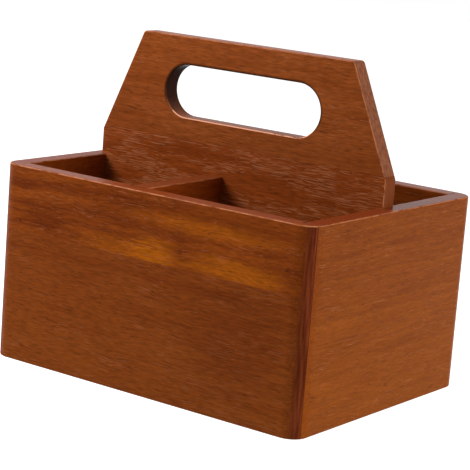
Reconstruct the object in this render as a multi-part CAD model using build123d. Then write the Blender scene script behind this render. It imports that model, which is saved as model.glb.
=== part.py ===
from build123d import *
import os

# Utensil caddy of stained hardwood boards: an open box with a handle board down its middle and
# one cross divider in its front half. Millimetres, +Z up, X left to right, Y front to back.
# The origin is on the table under the middle of the box.

# outside of the box
length = 250.0              # left to right
depth = 195.0               # front to back
wall_height = 132.3         # table to rim
corner_radius = 12.0        # round-over on the four upright corners

# boards
long_thickness = 12.7       # front and back walls
end_thickness = 12.7        # left and right ends
handle_thickness = 12.7
divider_thickness = 12.7
bottom_thickness = 6.0
long_top_width = 43.5       # upper of the two boards glued edge to edge in each long wall
handle_top_width = 69.5     # upper of the two boards glued edge to edge in the handle

# handle board, measured up from the rim and in from its upright ends
shoulder_rise = 18.0        # rim to the start of the slant
handle_rise = 89.7          # rim to the top
slant_run = 31.1            # how far each slant leans in
grip_height = 19.0          # wood left above the hand slot
slot_length = 126.0
slot_height = 35.5
handle_corner_radius = 3.0

# cross divider
divider_offset = -16.5      # its middle, left of the middle of the box

# joinery
corner_tongue = 7.0         # wood of a long wall that laps over the end of an end wall
bottom_lift = 8.0           # table to the underside of the bottom panel
bottom_groove = 4.0         # depth of the groove round the bottom panel
groove_slip = 0.2           # play of the bottom panel in the height of its groove
groove_end_gap = 0.5        # room past each edge of the bottom panel
handle_housing = 4.5        # depth of the handle board's housings in the end walls
divider_housing = 3.0       # depth of the divider's housings
housing_slip = 0.1          # play at each side of a housed board
housing_end_gap = 0.5       # room past the end of a housed board

# eased edges
rim_round = 1.0             # rim, inside and outside
foot_round = 1.0            # outside edge that stands on the table
board_round = 1.0           # handle outline and divider top
slot_round = 1.0            # hand slot, front and back

# sizes that follow
inner_length = length - 2 * end_thickness
inner_depth = depth - 2 * long_thickness
floor_height = bottom_lift + bottom_thickness
handle_length = inner_length + 2 * (handle_housing - housing_end_gap)
handle_top = wall_height + handle_rise
slot_centre = handle_top - grip_height - slot_height / 2


def outer_block():
    """The solid block whose outside faces and eased edges the four walls share."""
    block = extrude(RectangleRounded(length, depth, corner_radius), wall_height)
    block = fillet(block.faces().sort_by(Axis.Z)[-1].edges(), rim_round)
    return fillet(block.faces().sort_by(Axis.Z)[0].edges(), foot_round)


def wall_section(thickness):
    """Upright section of a wall, its inner face at 0: eased inner rim, groove for the bottom."""
    section = Rectangle(thickness, wall_height, align=(Align.MIN, Align.MIN))
    inner_rim = section.vertices().group_by(Axis.Y)[-1].sort_by(Axis.X)[0]
    section = fillet(inner_rim, rim_round)
    groove = Rectangle(bottom_groove, bottom_thickness + groove_slip, align=(Align.MIN, Align.MIN))
    return section - Pos(0, bottom_lift) * groove


def wall(thickness, outer_width, run):
    """A wall on the +X side of a box that is outer_width across, run long in Y."""
    inner_face = outer_width / 2 - thickness
    plane = Plane(origin=(inner_face, run / 2, 0), x_dir=(1, 0, 0), z_dir=(0, -1, 0))
    return extrude(plane * wall_section(thickness), run)


def housing(width, deep, foot, inner_face):
    """A channel cut outwards into a +X wall, open at the rim."""
    channel = Box(deep, width + 2 * housing_slip, wall_height - foot,
                  align=(Align.MIN, Align.CENTER, Align.MIN))
    return Pos(inner_face, 0, foot) * channel


def end_wall():
    """The right-hand end: one board between the long walls, housed for the handle board."""
    board = wall(end_thickness, length, depth - 2 * corner_tongue) & outer_block()
    return board - housing(handle_thickness, handle_housing, floor_height, inner_length / 2)


def long_wall():
    """The back wall: rabbeted at both ends so that its tongues lap over the end walls."""
    blank = wall(long_thickness, depth, length)
    rabbet = Box(long_thickness - corner_tongue, end_thickness, wall_height,
                 align=(Align.MIN, Align.CENTER, Align.MIN))
    for side in (-1, 1):
        blank -= Pos(inner_depth / 2, side * (length - end_thickness) / 2, 0) * rabbet
    return (Rot(0, 0, 90) * blank) & outer_block()


def front_wall():
    """The front wall is the back wall turned round, housed for the cross divider."""
    board = Rot(0, 0, 180) * long_wall()
    channel = housing(divider_thickness, divider_housing, floor_height, inner_depth / 2)
    return board - Pos(divider_offset, 0, 0) * Rot(0, 0, -90) * channel


def edge_glued(panel, joint_height):
    """The two boards of a panel that is glued edge to edge at joint_height: upper, lower."""
    joint = Plane.XY.offset(joint_height)
    return split(panel, joint, keep=Keep.TOP), split(panel, joint, keep=Keep.BOTTOM)


def handle_sketch():
    """Front view of the handle board: upright ends, slanted shoulders and the hand slot."""
    half = handle_length / 2
    shoulder = wall_height + shoulder_rise
    outline = Polygon((-half, floor_height), (half, floor_height), (half, shoulder),
                      (half - slant_run, handle_top), (slant_run - half, handle_top),
                      (-half, shoulder), align=None)
    outline = fillet(outline.vertices().group_by(Axis.Y)[-1], handle_corner_radius)
    return outline - Pos(0, slot_centre) * SlotOverall(slot_length, slot_height)


def handle_board():
    """The long divider that rises into the handle, eased round its outline and its slot."""
    board = extrude(Plane.XZ * handle_sketch(), handle_thickness / 2, both=True)
    faces = board.faces().filter_by(Axis.Y)
    slot_edges = [edge for face in faces for wire in face.inner_wires() for edge in wire.edges()]
    board = fillet(slot_edges, slot_round)
    faces = board.faces().filter_by(Axis.Y)
    outline_edges = [edge for face in faces for edge in face.outer_wire().edges()
                     if edge.center().Z > floor_height + board_round]
    board = fillet(outline_edges, board_round)
    channel = Box(divider_thickness + 2 * housing_slip, divider_housing, wall_height - floor_height,
                  align=(Align.CENTER, Align.MIN, Align.MIN))
    return board - Pos(divider_offset, -handle_thickness / 2, floor_height) * channel


def cross_divider():
    """The short divider between the front wall and the handle board, level with the rim."""
    section = Rectangle(divider_thickness, wall_height - floor_height, align=(Align.CENTER, Align.MIN))
    section = fillet(section.vertices().group_by(Axis.Y)[-1], board_round)
    reach = divider_housing - housing_end_gap
    front = -inner_depth / 2 - reach
    back = -handle_thickness / 2 + reach
    plane = Plane(origin=(divider_offset, back, floor_height), x_dir=(1, 0, 0), z_dir=(0, -1, 0))
    return extrude(plane * section, back - front)


def bottom_panel():
    """The thin bottom, held in the groove that runs round the four walls."""
    reach = bottom_groove - groove_end_gap
    panel = Box(inner_length + 2 * reach, inner_depth + 2 * reach, bottom_thickness,
                align=(Align.CENTER, Align.CENTER, Align.MIN))
    return Pos(0, 0, bottom_lift) * panel


front_upper, front_lower = edge_glued(front_wall(), wall_height - long_top_width)
back_upper, back_lower = edge_glued(long_wall(), wall_height - long_top_width)
handle_upper, handle_lower = edge_glued(handle_board(), handle_top - handle_top_width)
right_end = end_wall()

pieces = {
    "front_upper_board": front_upper,
    "front_lower_board": front_lower,
    "back_upper_board": back_upper,
    "back_lower_board": back_lower,
    "right_end_board": right_end,
    "left_end_board": Rot(0, 0, 180) * right_end,
    "handle_upper_board": handle_upper,
    "handle_lower_board": handle_lower,
    "cross_divider": cross_divider(),
    "bottom_panel": bottom_panel(),
}

os.makedirs("parts", exist_ok=True)
for name, solid in pieces.items():
    export_step(solid, f"parts/{name}.step")
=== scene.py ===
from math import cos, radians, sin

import bpy
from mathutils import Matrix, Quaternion, Vector


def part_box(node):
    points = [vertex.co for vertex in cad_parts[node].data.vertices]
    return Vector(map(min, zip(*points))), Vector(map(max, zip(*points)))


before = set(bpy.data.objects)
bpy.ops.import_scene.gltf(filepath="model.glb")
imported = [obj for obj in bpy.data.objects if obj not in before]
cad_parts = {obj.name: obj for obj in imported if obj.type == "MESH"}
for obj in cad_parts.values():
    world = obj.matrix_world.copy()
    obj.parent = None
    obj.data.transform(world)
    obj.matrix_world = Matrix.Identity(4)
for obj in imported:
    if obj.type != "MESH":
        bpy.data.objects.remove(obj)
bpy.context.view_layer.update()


# The studio: the caddy stands on a white sweep, seen from its right front corner, a little from
# above and with the camera tipped a few degrees. A weak soft box hangs over it, one is raised at
# the left in front, and the strongest stands at the right behind.

scene = bpy.context.scene
scene.view_settings.view_transform = "Standard"

aim = Vector((-0.00042, -0.00031, 0.09363))
camera_distance = 1.2372
sensor_width, lens_length = 36.0, 140.8
azimuth, elevation, tip = radians(35.44), radians(11.42), radians(4.52)
towards_camera = Vector((sin(azimuth) * cos(elevation), -cos(azimuth) * cos(elevation), sin(elevation)))

camera_data = bpy.data.cameras.new("camera")
camera_data.sensor_width = sensor_width
camera_data.lens = lens_length
camera = bpy.data.objects.new("camera", camera_data)
scene.collection.objects.link(camera)
camera.location = aim + camera_distance * towards_camera
camera.rotation_mode = "QUATERNION"
camera.rotation_quaternion = (-towards_camera).to_track_quat("-Z", "Y") @ Quaternion((0, 0, 1), tip)
scene.camera = camera


def soft_box(name, place, width, watts):
    """A square soft box hung at a place and turned to the caddy."""
    lamp = bpy.data.lights.new(name, "AREA")
    lamp.size = width
    lamp.energy = watts
    box = bpy.data.objects.new(name, lamp)
    scene.collection.objects.link(box)
    box.location = place
    box.rotation_mode = "QUATERNION"
    box.rotation_quaternion = (aim - box.location).to_track_quat("-Z", "Y")


soft_box("overhead_box", (-0.1, 0.15, 1.5), 1.0, 1.5)
soft_box("left_front_box", (-0.75, -0.65, 0.85), 0.6, 17.0)
soft_box("right_back_box", (1.5, 0.45, 0.45), 0.9, 26.0)


def add(tree, kind, inputs=None, **settings):
    """A shader node with its settings, each input fed by a socket or set to a value."""
    node = tree.nodes.new("ShaderNode" + kind)
    for setting, value in settings.items():
        setattr(node, setting, value)
    for key, value in (inputs or {}).items():
        if isinstance(value, bpy.types.NodeSocket):
            tree.links.new(value, node.inputs[key])
        else:
            node.inputs[key].default_value = value
    return node


def seen_directly(tree):
    """1 where the camera or a reflection looks at the surface, 0 where it only gives light."""
    path = add(tree, "LightPath")
    mirrored = add(tree, "Math", {0: path.outputs["Is Glossy Ray"], 1: path.outputs["Is Transmission Ray"]},
                   operation="MAXIMUM")
    return add(tree, "Math", {0: path.outputs["Is Camera Ray"], 1: mirrored.outputs[0]},
               operation="MAXIMUM").outputs[0]


room = bpy.data.worlds.new("white_room")
room.use_nodes = True
room.node_tree.nodes.clear()
room_tree = room.node_tree
room_light, room_white = 0.35, 1.0
room_strength = add(room_tree, "MapRange", {"Value": seen_directly(room_tree), "To Min": room_light,
                                            "To Max": room_white})
room_shader = add(room_tree, "Background", {"Color": (1, 1, 1, 1), "Strength": room_strength.outputs[0]})
add(room_tree, "OutputWorld", {"Surface": room_shader.outputs[0]})
scene.world = room

floor_half = 3.0
paper_grey, paper_seen_glow = 0.6, 0.83
floor_mesh = bpy.data.meshes.new("studio_floor")
floor_mesh.from_pydata([(-floor_half, -floor_half, 0), (floor_half, -floor_half, 0),
                        (floor_half, floor_half, 0), (-floor_half, floor_half, 0)], [], [(0, 1, 2, 3)])
floor = bpy.data.objects.new("studio_floor", floor_mesh)
scene.collection.objects.link(floor)
floor_paper = bpy.data.materials.new("white_paper")
floor_paper.use_nodes = True
paper_tree = floor_paper.node_tree
paper_tree.nodes.clear()
paper_shade = add(paper_tree, "BsdfDiffuse", {"Color": (paper_grey, paper_grey, paper_grey, 1)})
paper_glow = add(paper_tree, "Math", {0: seen_directly(paper_tree), 1: paper_seen_glow}, operation="MULTIPLY")
paper_light = add(paper_tree, "Emission", {"Color": (1, 1, 1, 1), "Strength": paper_glow.outputs[0]})
paper_sum = add(paper_tree, "AddShader", {0: paper_shade.outputs[0], 1: paper_light.outputs[0]})
add(paper_tree, "OutputMaterial", {"Surface": paper_sum.outputs[0]})
floor_mesh.materials.append(floor_paper)


# The front wall is two hardwood boards glued edge to edge, planed and sanded together, stained
# chestnut brown and given a thin satin lacquer. Its tongues wrap the corners and show end grain.

def new_group(name, inputs, outputs):
    """A shader node group with its sockets, and the nodes that stand for them."""
    group = bpy.data.node_groups.new(name, "ShaderNodeTree")
    for label, kind, value in inputs:
        socket = group.interface.new_socket(label, in_out="INPUT", socket_type="NodeSocket" + kind)
        if value is not None:
            socket.default_value = value
    for label, kind in outputs:
        group.interface.new_socket(label, in_out="OUTPUT", socket_type="NodeSocket" + kind)
    return group, group.nodes.new("NodeGroupInput"), group.nodes.new("NodeGroupOutput")


def maths(tree, operation, first, second=0.5, clamp=False):
    """One sum of two numbers or sockets."""
    return add(tree, "Math", {0: first, 1: second}, operation=operation, use_clamp=clamp).outputs[0]


def spread(tree, value, low, high, to_low=0.0, to_high=1.0):
    """A value stretched from low and high to new ends, and held there."""
    return add(tree, "MapRange", {"Value": value, "From Min": low, "From Max": high, "To Min": to_low,
                                  "To Max": to_high}).outputs[0]


def times(tree, vector, x, y, z):
    """A vector multiplied by a number in each direction."""
    return add(tree, "VectorMath", {0: vector, 1: (x, y, z)}, operation="MULTIPLY").outputs[0]


def cloud(tree, vector, detail=2.0):
    """Smooth noise with one patch to a unit of the vector."""
    return add(tree, "TexNoise", {"Vector": vector, "Scale": 1.0, "Detail": detail, "Roughness": 0.5})


def make_grain_group():
    """Figure of a board whose grain runs along X, read in millimetres: rings round a pith at
    Y = Z = 0, slow clouds, streaks, fibres, and short pores, some dark with stain, some pale."""
    group, given, result = new_group(
        "board_grain",
        [("Vector", "Vector", None), ("Ring Width", "Float", 5.0), ("Ring Wander", "Float", 6.0),
         ("Wave", "Float", 5.0), ("Pale Pore Share", "Float", 0.2), ("Dark Pore Share", "Float", 0.5)],
        [("Rings", "Float"), ("Clouds", "Float"), ("Streaks", "Float"), ("Fibres", "Float"),
         ("Pale Pores", "Float"), ("Dark Pores", "Float"), ("Height", "Float")])
    straight = add(group, "VectorMath", {0: given.outputs["Vector"], "Scale": 1000.0},
                   operation="SCALE").outputs[0]

    sway = cloud(group, times(group, straight, 0.02, 0.03, 0.03)).outputs["Color"]
    sway = add(group, "VectorMath", {0: sway, 1: (0.5, 0.5, 0.5)}, operation="SUBTRACT").outputs[0]
    sway = add(group, "VectorMath", {0: sway, "Scale": given.outputs["Wave"]}, operation="SCALE").outputs[0]
    wavy = add(group, "VectorMath", {0: straight, 1: sway}, operation="ADD").outputs[0]

    bend = cloud(group, times(group, straight, 0.005, 0.022, 0.022)).outputs[0]
    bend = maths(group, "MULTIPLY", bend, given.outputs["Ring Wander"])
    from_pith = add(group, "VectorMath", {0: times(group, wavy, 0.0, 1.0, 1.0)}, operation="LENGTH")
    ring_count = maths(group, "DIVIDE", maths(group, "ADD", from_pith.outputs["Value"], bend),
                       given.outputs["Ring Width"])
    rings = add(group, "TexNoise", {"W": ring_count, "Scale": 1.0, "Detail": 1.5, "Roughness": 0.5},
                noise_dimensions="1D")

    figure = {
        "Rings": spread(group, rings.outputs[0], 0.3, 0.7),
        "Clouds": spread(group, cloud(group, times(group, wavy, 0.022, 0.11, 0.11)).outputs[0], 0.3, 0.7),
        "Streaks": spread(group, cloud(group, times(group, wavy, 0.02, 0.4, 0.4), 2.0).outputs[0], 0.3, 0.7),
        "Fibres": spread(group, cloud(group, times(group, wavy, 0.13, 1.15, 1.15), 1.0).outputs[0], 0.3, 0.7),
    }

    def pores(along, across, share, gathered):
        """Short dashes, closer together where a slow noise is high."""
        crowd = cloud(group, times(group, wavy, gathered, gathered * 4, gathered * 4)).outputs[0]
        wanted = maths(group, "MULTIPLY", spread(group, crowd, 0.35, 0.62), share)
        limit = spread(group, wanted, 0.0, 1.0, 0.74, 0.53)
        dash = cloud(group, times(group, wavy, along, across, across), 0.5).outputs[0]
        over = maths(group, "SUBTRACT", dash, limit)
        return spread(group, over, 0.0, 0.06)

    figure["Pale Pores"] = pores(0.075, 2.5, given.outputs["Pale Pore Share"], 0.018)
    figure["Dark Pores"] = pores(0.16, 1.1, given.outputs["Dark Pore Share"], 0.025)
    figure["Height"] = maths(group, "SUBTRACT", figure["Fibres"], figure["Dark Pores"])
    for label, socket in figure.items():
        group.links.new(socket, result.inputs[label])
    return group


def make_edge_group():
    """Where a board shows end grain, with the fine upright lines that sanding leaves in it,
    where its arrises are rubbed thin of stain and carry a painted highlight, and where it faces up."""
    group, given, result = new_group(
        "end_grain_and_arris",
        [("Vector", "Vector", None), ("Grain Axis", "Vector", (1, 0, 0)),
         ("Arris Axis", "Vector", (0, 0, 1))],
        [("End Grain", "Float"), ("Arris", "Float"), ("End Lines", "Float"), ("Top", "Float")])
    normal = add(group, "NewGeometry").outputs["Normal"]

    def share_of(axis):
        """How far the surface faces along an axis, 0 to 1."""
        dot = add(group, "VectorMath", {0: normal, 1: axis}, operation="DOT_PRODUCT")
        return maths(group, "ABSOLUTE", dot.outputs["Value"])

    lean = share_of(given.outputs["Arris Axis"])
    rest = maths(group, "SUBTRACT", 1.0, maths(group, "MULTIPLY", lean, lean), clamp=True)
    # Strongest at the middle of a rounded arris, where the highlight is painted.
    rounded = spread(group, maths(group, "MULTIPLY", lean, maths(group, "SQRT", rest)), 0.24, 0.47)
    millimetres = add(group, "VectorMath", {0: given.outputs["Vector"], "Scale": 1000.0},
                      operation="SCALE").outputs[0]
    rubbing = cloud(group, times(group, millimetres, 0.14, 0.14, 0.14), 3.0).outputs[0]
    lines = cloud(group, times(group, millimetres, 0.7, 0.7, 0.04), 2.0).outputs[0]
    upwards = add(group, "SeparateXYZ", {0: normal}).outputs["Z"]
    for label, socket in (("End Grain", spread(group, share_of(given.outputs["Grain Axis"]), 0.4, 0.62)),
                          ("Arris", maths(group, "MULTIPLY", rounded, spread(group, rubbing, 0.32, 0.56))),
                          ("End Lines", spread(group, lines, 0.35, 0.65)),
                          ("Top", spread(group, upwards, 0.75, 0.97))):
        group.links.new(socket, result.inputs[label])
    return group


corner_joint_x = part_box("right_end_board")[0].x
corner_joint_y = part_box("right_end_board")[1].y
inner_face_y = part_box("front_lower_board")[1].y


def make_joint_group():
    """The hairline of glue at the rabbets, along each tongue's inner face and then in to the
    corner, and a painted highlight on the strip of end wall beside it, where the corner's round begins."""
    group, given, result = new_group(
        "corner_joint",
        [("Vector", "Vector", None), ("Joint X", "Float", corner_joint_x),
         ("Joint Y", "Float", corner_joint_y), ("Inner Y", "Float", -inner_face_y),
         ("Half Width", "Float", 0.0003)],
        [("Hairline", "Float"), ("Beside", "Float")])
    place = add(group, "SeparateXYZ", {0: given.outputs["Vector"]})
    x, y = (maths(group, "ABSOLUTE", place.outputs[axis]) for axis in (0, 1))

    def close_to(value, joint):
        """1 on the joint, down to 0 half a line's width away."""
        off = maths(group, "ABSOLUTE", maths(group, "SUBTRACT", value, joint))
        off = maths(group, "DIVIDE", off, given.outputs["Half Width"])
        return maths(group, "SUBTRACT", 1.0, off, clamp=True)

    outside = maths(group, "GREATER_THAN", x, given.outputs["Joint X"])
    along = maths(group, "MULTIPLY", close_to(y, given.outputs["Joint Y"]), outside)
    between = maths(group, "MULTIPLY", maths(group, "GREATER_THAN", y, given.outputs["Inner Y"]),
                    maths(group, "LESS_THAN", y, given.outputs["Joint Y"]))
    across = maths(group, "MULTIPLY", close_to(x, given.outputs["Joint X"]), between)
    group.links.new(maths(group, "MAXIMUM", along, across), result.inputs["Hairline"])

    # The strip beside the joint, where a painted highlight goes.
    short_of = maths(group, "SUBTRACT", given.outputs["Joint Y"], y)
    beside = spread(group, short_of, 0.005, 0.002)
    beside = maths(group, "MULTIPLY", beside, maths(group, "GREATER_THAN", short_of, 0.0))
    group.links.new(maths(group, "MULTIPLY", beside, outside), result.inputs["Beside"])
    return group


def make_patch_group():
    """A soft lengthwise patch of sapwood or heartwood round a centre, with an uneven border."""
    group, given, result = new_group(
        "wood_patch",
        [("Vector", "Vector", None), ("Centre", "Vector", (0, 0, 0)),
         ("Half Size", "Vector", (0.04, 0.02, 0.01)), ("Streaks", "Float", 0.5)],
        [("Patch", "Float")])
    offset = add(group, "VectorMath", {0: given.outputs["Vector"], 1: given.outputs["Centre"]},
                 operation="SUBTRACT").outputs[0]
    share = add(group, "VectorMath", {0: offset, 1: given.outputs["Half Size"]},
                operation="DIVIDE").outputs[0]
    reach = add(group, "VectorMath", {0: share}, operation="LENGTH").outputs["Value"]
    uneven = maths(group, "ADD", reach, maths(group, "MULTIPLY", given.outputs["Streaks"], 0.45))
    patch = add(group, "MapRange", {"Value": uneven, "From Min": 1.3, "From Max": 0.45},
                interpolation_type="SMOOTHSTEP").outputs[0]
    group.links.new(patch, result.inputs["Patch"])
    return group


board_grain = make_grain_group()
end_grain_and_arris = make_edge_group()
corner_joint = make_joint_group()
wood_patch = make_patch_group()


def screen_colour(red, green, blue):
    """A colour read off a screen, 0 to 255, as the linear colour that a shader wants."""
    parts = (part / 255 for part in (red, green, blue))
    return (*(part / 12.92 if part <= 0.04045 else ((part + 0.055) / 1.055) ** 2.4 for part in parts), 1)


def blend_colour(tree, share, below, above):
    """Two colours mixed by a share from 0 to 1."""
    mixed = add(tree, "Mix", data_type="RGBA")
    for index, value in ((0, share), (6, below), (7, above)):
        if isinstance(value, bpy.types.NodeSocket):
            tree.links.new(value, mixed.inputs[index])
        else:
            mixed.inputs[index].default_value = value
    return mixed.outputs[2]


sapwood_gold = screen_colour(172, 92, 8)
heartwood_dark = screen_colour(86, 31, 6)
# Colour of rubbed arrises, which also paints the highlight on their round.
rubbed_and_highlit_wood = screen_colour(196, 124, 84)
pore_filler = screen_colour(168, 108, 74)
pore_stain = screen_colour(62, 22, 6)
glue_dark = screen_colour(48, 16, 6)
# Painted highlight for the strip of end wall beside the corner joints.
corner_highlight_red = screen_colour(132, 60, 28)

# The rim colour on upward faces is painted shade; the strip beside the corner joints takes a painted
# highlight.
rim_shade_depth, dark_pore_depth, corner_highlight_depth = 0.75, 0.4, 0.2
# End grain, glue line and the painted shade inside and round the slot: how strong each is.
end_grain_depth, glue_depth, slot_shade_line_depth = 0.85, 0.8, 0.8
dull_fibre, bright_fibre, end_grain_dulling = 0.34, 0.26, 0.12
fibre_relief, fibre_height = 0.3, 0.00012
coat_roughness = 0.35


def stained_board(name, shade, tone, pith, turn=(0, 0, 0), grain_axis=(1, 0, 0), arris_axis=(0, 0, 1),
                  ring_width=5.0, rings=0.12, clouds=0.28, streaks=0.16, fibres=0.2, wave=5.0,
                  pale_pores=0.5, pale_depth=0.3, dark_pores=0.4, end_tones=((66, 22, 6), (110, 48, 24)),
                  rubbed_and_highlit=0.5, floor_light_below=0.0, patches=(), rim=(114, 43, 18), rim_polish=0.2, slot=None):
    """Stained, lacquered hardwood between a darker shade and a paler tone. The turn lays the
    figure along the board's grain, and the pith is where its rings centre. A slot is its group,
    the colour of its painted shade inside and the colour of the painted highlight on its lip."""
    material = bpy.data.materials.new(name)
    material.use_nodes = True
    tree = material.node_tree
    tree.nodes.clear()
    place = add(tree, "TexCoord").outputs["Object"]
    laid = add(tree, "Mapping", {"Vector": place, "Location": pith, "Rotation": turn}).outputs[0]
    grain = add(tree, "Group", node_tree=board_grain)
    for label, value in (("Ring Width", ring_width), ("Wave", wave), ("Pale Pore Share", pale_pores),
                         ("Dark Pore Share", dark_pores)):
        grain.inputs[label].default_value = value
    tree.links.new(laid, grain.inputs["Vector"])
    edges = add(tree, "Group", node_tree=end_grain_and_arris)
    edges.inputs["Grain Axis"].default_value = grain_axis
    edges.inputs["Arris Axis"].default_value = arris_axis
    tree.links.new(place, edges.inputs["Vector"])
    joint = add(tree, "Group", node_tree=corner_joint)
    tree.links.new(place, joint.inputs["Vector"])

    figure = 0.5
    for label, depth in (("Rings", rings), ("Clouds", clouds), ("Streaks", streaks)):
        lift = maths(tree, "MULTIPLY", maths(tree, "SUBTRACT", grain.outputs[label], 0.5), depth)
        figure = maths(tree, "ADD", figure, lift)
    height = add(tree, "SeparateXYZ", {0: place}).outputs["Z"]
    # Paler towards the board's lower edge: painted light from the floor's bounce.
    figure = maths(tree, "ADD", figure, spread(tree, height, 0.11, 0.02, -floor_light_below / 2, floor_light_below / 2))
    wood = blend_colour(tree, maths(tree, "ADD", figure, 0.0, clamp=True), shade, tone)
    for colour, strength, centre, half_size in patches:
        patch = add(tree, "Group", node_tree=wood_patch)
        patch.inputs["Centre"].default_value = centre
        patch.inputs["Half Size"].default_value = half_size
        tree.links.new(place, patch.inputs["Vector"])
        tree.links.new(grain.outputs["Streaks"], patch.inputs["Streaks"])
        wood = blend_colour(tree, maths(tree, "MULTIPLY", patch.outputs[0], strength), wood, colour)
    # Upward faces blend to a darker, redder rim colour: painted shade, for the dark handle board that the
    # rims mirror.
    top = maths(tree, "MULTIPLY", edges.outputs["Top"], rim_shade_depth)
    wood = blend_colour(tree, top, wood, screen_colour(*rim))
    fibre_tone = spread(tree, grain.outputs["Fibres"], 0.0, 1.0, 1.0 - fibres, 1.0 + fibres)
    wood = add(tree, "VectorMath", {0: wood, "Scale": fibre_tone}, operation="SCALE").outputs[0]
    dark = maths(tree, "MULTIPLY", grain.outputs["Dark Pores"], dark_pore_depth)
    wood = blend_colour(tree, dark, wood, pore_stain)
    pale = maths(tree, "MULTIPLY", grain.outputs["Pale Pores"], pale_depth)
    wood = blend_colour(tree, pale, wood, pore_filler)
    # A painted highlight on the end wall's strip beside the corner joint.
    corner_highlight = maths(tree, "MULTIPLY", joint.outputs["Beside"], corner_highlight_depth)
    wood = blend_colour(tree, corner_highlight, wood, corner_highlight_red)
    ends = blend_colour(tree, edges.outputs["End Lines"], *(screen_colour(*tone) for tone in end_tones))
    cut_across = maths(tree, "MULTIPLY", edges.outputs["End Grain"], end_grain_depth)
    wood = blend_colour(tree, cut_across, wood, ends)
    # Arrises: paler where rubbed thin of stain, with a painted highlight on their round.
    wood = blend_colour(tree, maths(tree, "MULTIPLY", edges.outputs["Arris"], rubbed_and_highlit), wood, rubbed_and_highlit_wood)
    wood = blend_colour(tree, maths(tree, "MULTIPLY", joint.outputs["Hairline"], glue_depth), wood, glue_dark)
    if slot:
        slot_group, inside_shade_colour, lip_highlight_colour = slot
        cut = add(tree, "Group", node_tree=slot_group)
        tree.links.new(place, cut.inputs["Vector"])
        # The slot: painted shade inside it and in a line round its top and ends, and a painted highlight on
        # its lower lip.
        slot_shade_line = maths(tree, "MULTIPLY", cut.outputs["Shade Line"], slot_shade_line_depth)
        wood = blend_colour(tree, slot_shade_line, wood, inside_shade_colour)
        wood = blend_colour(tree, cut.outputs["Inside"], wood, inside_shade_colour)
        wood = blend_colour(tree, cut.outputs["Lip"], wood, lip_highlight_colour)

    gloss = spread(tree, grain.outputs["Fibres"], 0.0, 1.0, dull_fibre, bright_fibre)
    dulling = maths(tree, "MULTIPLY", edges.outputs["End Grain"], end_grain_dulling)
    relief = add(tree, "Bump", {"Height": grain.outputs["Height"], "Strength": fibre_relief,
                                "Distance": fibre_height})
    gloss = maths(tree, "ADD", gloss, dulling)
    lacquer = add(tree, "BsdfPrincipled", {"Base Color": wood, "Roughness": gloss,
                                           "Normal": relief.outputs[0], "IOR": 1.5,
                                           "Specular IOR Level": 0.02, "Coat Roughness": coat_roughness})
    if rim_polish:
        polish = maths(tree, "MULTIPLY", edges.outputs["Top"], rim_polish)
        tree.links.new(polish, lacquer.inputs["Coat Weight"])
    add(tree, "OutputMaterial", {"Surface": lacquer.outputs[0]})
    return material


def finish_board(node_name, material):
    """Gives a board of the frame its wood."""
    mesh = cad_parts[node_name].data
    mesh.materials.clear()
    mesh.materials.append(material)


front_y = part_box("front_upper_board")[0].y
gold_core = (sapwood_gold, 0.52, (0.007, front_y, 0.094), (0.025, 0.03, 0.0125))
gold_tail = (sapwood_gold, 0.24, (-0.024, front_y, 0.093), (0.036, 0.03, 0.0105))
gold_right = (sapwood_gold, 0.42, (0.07, front_y, 0.0945), (0.05, 0.03, 0.0105))
gold_band = (sapwood_gold, 0.28, (0.05, front_y, 0.117), (0.072, 0.03, 0.0075))
dark_left = (heartwood_dark, 0.65, (-0.085, front_y, 0.1), (0.036, 0.03, 0.0085))
dark_rim = (heartwood_dark, 0.45, (-0.062, front_y, 0.125), (0.03, 0.03, 0.005))
# The front's lower right is darkened by a patch: painted shade where the light falls off to the right.
shade_lower_right = (heartwood_dark, 0.38, (0.078, front_y, 0.05), (0.05, 0.03, 0.045))
finish_board("front_upper_board", stained_board(
    "front_upper_wood", screen_colour(95, 39, 9), screen_colour(125, 58, 14), (0.0, 0.09, -0.32),
    ring_width=6.0, rings=0.4, streaks=0.45, clouds=0.7, wave=8.0, rubbed_and_highlit=0.85,
    rim=(124, 54, 22), rim_polish=0.08,
    patches=(gold_tail, gold_core, gold_right, gold_band, dark_left, dark_rim)))
finish_board("front_lower_board", stained_board(
    "front_lower_wood", screen_colour(96, 38, 7), screen_colour(128, 65, 22), (0.3, 0.08, 0.18),
    pale_pores=0.7, pale_depth=0.2, floor_light_below=0.35, patches=(shade_lower_right,)))


# The back wall is made as the front wall is, from two more boards of the same batch, stained
# alike and lapped over the ends at its corners.

finish_board("back_upper_board", stained_board(
    "back_upper_wood", screen_colour(104, 44, 12), screen_colour(132, 64, 19), (0.7, -0.11, -0.28)))
finish_board("back_lower_board", stained_board(
    "back_lower_wood", screen_colour(102, 46, 16), screen_colour(128, 62, 23), (1.1, -0.12, 0.15)))


# Each end is one wide board let in between the long walls' tongues, its grain running level from
# front to back. The right one's figure falls a little towards the back.

finish_board("right_end_board", stained_board(
    "right_end_wood", screen_colour(102, 45, 4), screen_colour(128, 64, 11), (0.0, -0.12, 0.2),
    turn=(0, radians(4), radians(-90)), grain_axis=(0, 1, 0), ring_width=3.0, rings=0.3, fibres=0.13,
    pale_pores=0.4, floor_light_below=0.4))
finish_board("left_end_board", stained_board(
    "left_end_wood", screen_colour(106, 42, 9), screen_colour(134, 60, 15), (0.5, 0.12, 0.25),
    turn=(0, 0, radians(-90)), grain_axis=(0, 1, 0), rim_polish=0.06))


# The handle board runs from end to end between the compartments and rises into the carrying
# handle. It is glued up from two boards, the upper one sound and the lower one open-pored.

grip_height = 0.019
slot_half_length, slot_half_height = 0.063, 0.01775
slot_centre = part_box("handle_upper_board")[1].z - grip_height - slot_half_height
slot_reach = (slot_half_length + 0.0015, 0.02, slot_half_height + 0.00125)
chips_from = 0.028


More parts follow.
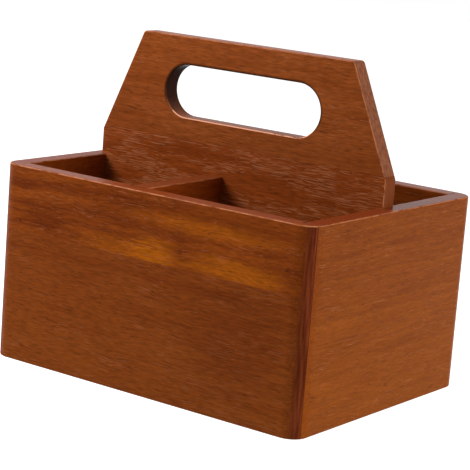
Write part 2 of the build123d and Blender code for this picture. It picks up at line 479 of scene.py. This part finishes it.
def make_slot_group():
    """The hand slot: its inside, nearly black as painted shade and less dark on its floor, a painted
    shade line round its top and ends, and a painted highlight along its lower lip, broken by chips towards
    the right."""
    group, given, result = new_group(
        "hand_slot",
        [("Vector", "Vector", None), ("Centre", "Vector", (0, 0, slot_centre)),
         ("Half Size", "Vector", slot_reach), ("Chips From", "Float", chips_from),
         ("Straight Half", "Float", slot_half_length - slot_half_height),
         ("End Radius", "Float", slot_half_height)],
        [("Inside", "Float"), ("Shade Line", "Float"), ("Lip", "Float")])
    offset = add(group, "VectorMath", {0: given.outputs["Vector"], 1: given.outputs["Centre"]},
                 operation="SUBTRACT").outputs[0]
    share = add(group, "VectorMath", {0: offset, 1: given.outputs["Half Size"]},
                operation="DIVIDE").outputs[0]
    part = add(group, "SeparateXYZ", {0: share})
    across = maths(group, "LESS_THAN", maths(group, "ABSOLUTE", part.outputs[0]), 1.0)
    upright = maths(group, "LESS_THAN", maths(group, "ABSOLUTE", part.outputs[2]), 1.0)
    within = maths(group, "MULTIPLY", across, upright)
    facing = add(group, "SeparateXYZ", {0: add(group, "NewGeometry").outputs["Normal"]})
    # The inside: painted shade, less dark on the upward-facing floor.
    inward = spread(group, maths(group, "ABSOLUTE", facing.outputs[1]), 0.75, 0.3)
    underfoot = spread(group, facing.outputs[2], 0.0, 0.9, 1.0, 0.35)
    inside = maths(group, "MULTIPLY", maths(group, "MULTIPLY", within, inward), underfoot)
    group.links.new(inside, result.inputs["Inside"])

    # A painted shade line round the slot's top and ends, reaching over its walls.
    from_middle = add(group, "SeparateXYZ", {0: offset})
    past_straight = maths(group, "SUBTRACT", maths(group, "ABSOLUTE", from_middle.outputs[0]),
                          given.outputs["Straight Half"])
    corner = add(group, "CombineXYZ", {0: maths(group, "MAXIMUM", past_straight, 0.0),
                                       1: from_middle.outputs[2]}).outputs[0]
    corner = add(group, "VectorMath", {0: corner}, operation="LENGTH").outputs["Value"]
    past_edge = maths(group, "SUBTRACT", corner, given.outputs["End Radius"])
    slot_shade_line = maths(group, "MULTIPLY", spread(group, past_edge, 0.0022, 0.0008),
                 spread(group, part.outputs[2], -0.8, -0.3))
    group.links.new(slot_shade_line, result.inputs["Shade Line"])

    # The lower lip: a painted highlight, broken by chips to the right of Chips From.
    low = maths(group, "LESS_THAN", part.outputs[2], -0.75)
    front = spread(group, maths(group, "MULTIPLY", facing.outputs[1], -1.0), 0.3, 0.55)
    rolled = maths(group, "MULTIPLY", front, spread(group, facing.outputs[2], 0.15, 0.4))
    millimetres = add(group, "VectorMath", {0: given.outputs["Vector"], "Scale": 1000.0},
                      operation="SCALE").outputs[0]
    chips = spread(group, cloud(group, times(group, millimetres, 0.45, 0.9, 0.9)).outputs[0], 0.42, 0.5)
    whole = maths(group, "LESS_THAN", add(group, "SeparateXYZ", {0: given.outputs["Vector"]}).outputs[0],
                  given.outputs["Chips From"])
    lip = maths(group, "MULTIPLY", maths(group, "MAXIMUM", chips, whole), rolled)
    lip = maths(group, "MULTIPLY", maths(group, "MULTIPLY", lip, low), within)
    group.links.new(lip, result.inputs["Lip"])
    return group


# The slot's inside colour is painted shade, its lip colour a painted highlight.
slot_finish = (make_slot_group(), screen_colour(34, 12, 4), screen_colour(226, 158, 124))
finish_board("handle_upper_board", stained_board(
    "handle_upper_wood", screen_colour(106, 46, 12), screen_colour(144, 75, 32), (2.0, 0.05, -0.4),
    arris_axis=(0, 1, 0), streaks=0.3, end_tones=((90, 50, 32), (122, 76, 54)), rubbed_and_highlit=0.6,
    rim=(134, 62, 30), rim_polish=0.0, slot=slot_finish))
finish_board("handle_lower_board", stained_board(
    "handle_lower_wood", screen_colour(102, 42, 10), screen_colour(136, 64, 24), (2.4, 0.05, 0.1),
    arris_axis=(0, 1, 0), pale_pores=1.6, pale_depth=0.5, streaks=0.3,
    end_tones=((78, 34, 10), (100, 47, 15)), rubbed_and_highlit=0.6))


# The cross divider parts the front half in two. It is housed in the front wall and the handle
# board, and its top is level with the rim.

finish_board("cross_divider", stained_board(
    "divider_wood", screen_colour(104, 41, 7), screen_colour(136, 58, 14), (0.9, 0.02, 0.3),
    turn=(0, 0, radians(-90)), grain_axis=(0, 1, 0), rim=(112, 52, 24)))


# The bottom panel is one thin board that lies loose in the groove round the four walls, under the
# handle board and the divider.

finish_board("bottom_panel", stained_board(
    "bottom_wood", screen_colour(96, 44, 18), screen_colour(126, 64, 28), (3.0, 0.2, 0.05),
    dark_pores=0.3, rim=(112, 54, 22), rim_polish=0.0))
